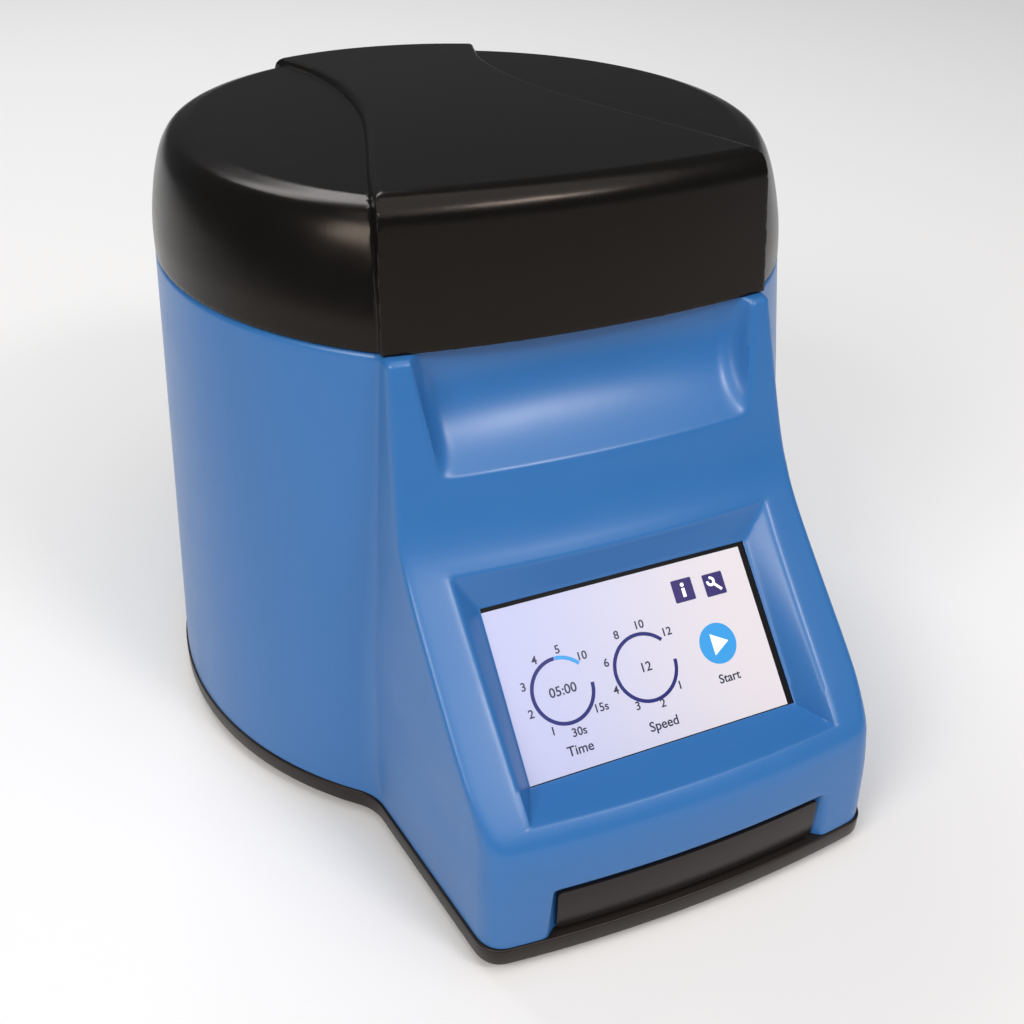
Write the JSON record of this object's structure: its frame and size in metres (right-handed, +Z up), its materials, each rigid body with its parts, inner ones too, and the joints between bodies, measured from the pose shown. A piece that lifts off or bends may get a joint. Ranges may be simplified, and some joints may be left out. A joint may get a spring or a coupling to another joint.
{
  "type": "vortex mixer",
  "caption": "Bench-top tube mixer: round blue housing with a sloping touch-screen console, hinged black lid and a wobbling tube carrier on a motor.",
  "frame": {"origin": "middle of the assembly's footprint, at the level of the bench that the rubber feet stand on", "axes": "+Z up, the console and its screen face -Y, the lid's hinge is at the +Y side, X is the width"},
  "size_m": [0.2816, 0.3554, 0.2433],
  "materials": {
    "housing_blue": "satin moulded, mid blue",
    "lid_black": "satin gloss black",
    "tray_plastic": "fine grain black",
    "badge_plate": "smooth black",
    "touch_glass": "clear over a lit white screen",
    "gasket_rubber": "matt",
    "display_body": "matt",
    "sheet_aluminium": "plain sheet",
    "board_green": "solder mask green",
    "deck_plastic": "fine grain",
    "well_aluminium": "spun and brushed",
    "motor_shell": "powder coated steel case",
    "zinc_steel": "zinc plated",
    "bearing_steel": "ground",
    "shaft_steel": "ground",
    "hub_aluminium": "turned",
    "nut_steel": "plain",
    "carrier_white": "machined acetal",
    "magnet_steel": "nickel plated",
    "panel_plastic": "fine grain",
    "inlet_plastic": "moulded",
    "rocker_plastic": "moulded",
    "fan_plastic": "moulded",
    "liner_plastic": "fine grain",
    "hinge_plastic": "glass filled nylon",
    "screw_steel": "zinc plated",
    "foot_rubber": "matt"
  },
  "bodies": {
    "base": {"housing_shell": "housing_blue", "base_tray": "tray_plastic", "name_badge": "badge_plate", "touch_glass": "touch_glass", "screen_gasket": "gasket_rubber", "display_module": "display_body", "display_bracket": "sheet_aluminium", "control_board": "board_green", "deck_plate": "deck_plastic", "chamber_well": "well_aluminium", "well_floor": "well_aluminium", "motor_body": "motor_shell", "motor_plate": "zinc_steel", "shaft_bearing": "bearing_steel", "well_magnet": "magnet_steel", "power_bracket": "sheet_aluminium", "power_board": "board_green", "rear_panel": "panel_plastic", "inlet_body": "inlet_plastic", "fan_frame": "fan_plastic", "lock_solenoid": "zinc_steel", "hinge_bracket": "hinge_plastic", "hinge_pin": "shaft_steel", "tray_screw_1": "screw_steel", "tray_standoff_1": "zinc_steel", "motor_post_1": "zinc_steel", "tray_screw_2": "screw_steel", "tray_standoff_2": "zinc_steel", "motor_post_2": "zinc_steel", "tray_screw_3": "screw_steel", "tray_standoff_3": "zinc_steel", "motor_post_3": "zinc_steel", "tray_screw_4": "screw_steel", "tray_standoff_4": "zinc_steel", "motor_post_4": "zinc_steel", "foot_front_left": "foot_rubber", "foot_front_right": "foot_rubber", "foot_rear_left": "foot_rubber", "foot_rear_right": "foot_rubber", "bracket_screw_1": "screw_steel", "bracket_screw_2": "screw_steel"},
    "lid": {"lid_shell": "lid_black", "lid_liner": "liner_plastic", "lid_seal": "gasket_rubber", "lock_tongue": "zinc_steel", "hinge_leaf": "hinge_plastic", "leaf_screw_1": "screw_steel", "leaf_screw_2": "screw_steel"},
    "drive": {"drive_shaft": "shaft_steel", "drive_hub": "hub_aluminium", "hub_nut": "nut_steel"},
    "carrier": {"tube_carrier": "carrier_white", "carrier_bearing": "bearing_steel", "carrier_magnet": "magnet_steel"},
    "fan": {"fan_rotor": "fan_plastic"},
    "bolt": {"lock_bolt": "shaft_steel"},
    "fuse": {"fuse_drawer": "inlet_plastic"},
    "rocker": {"power_rocker": "rocker_plastic"}
  },
  "joints": [
    {"name": "lid_hinge", "type": "hinge", "parent": "base", "child": "lid", "pos_m": [0, 0.1717, 0.1922], "axis": [-1, 0, 0], "range_deg": [0, 80]},
    {"name": "drive_spin", "type": "hinge", "parent": "base", "child": "drive", "pos_m": [0, 0.0372, 0.1645], "axis": [0, 0, 1], "continuous": true},
    {"name": "carrier_wobble", "type": "hinge", "parent": "drive", "child": "carrier", "pos_m": [0, 0.0372, 0.1645], "axis": [0.0349, 0, 0.9994], "continuous": true},
    {"name": "fan_spin", "type": "hinge", "parent": "base", "child": "fan", "pos_m": [-0.026, 0.1297, 0.05], "axis": [0, 1, 0], "continuous": true},
    {"name": "lock_slide", "type": "slide", "parent": "base", "child": "bolt", "axis": [-1, 0, 0], "range_m": [0, 0.006]},
    {"name": "fuse_slide", "type": "slide", "parent": "base", "child": "fuse", "axis": [0, 1, 0], "range_m": [0, 0.012]},
    {"name": "rocker_tilt", "type": "hinge", "parent": "base", "child": "rocker", "pos_m": [0.03, 0.1412, 0.0675], "axis": [1, 0, 0], "range_deg": [-8, 8]}
  ],
  "couplings": [
    {"joint": "carrier_wobble", "follows": "drive_spin", "ratio": -1}
  ]
}
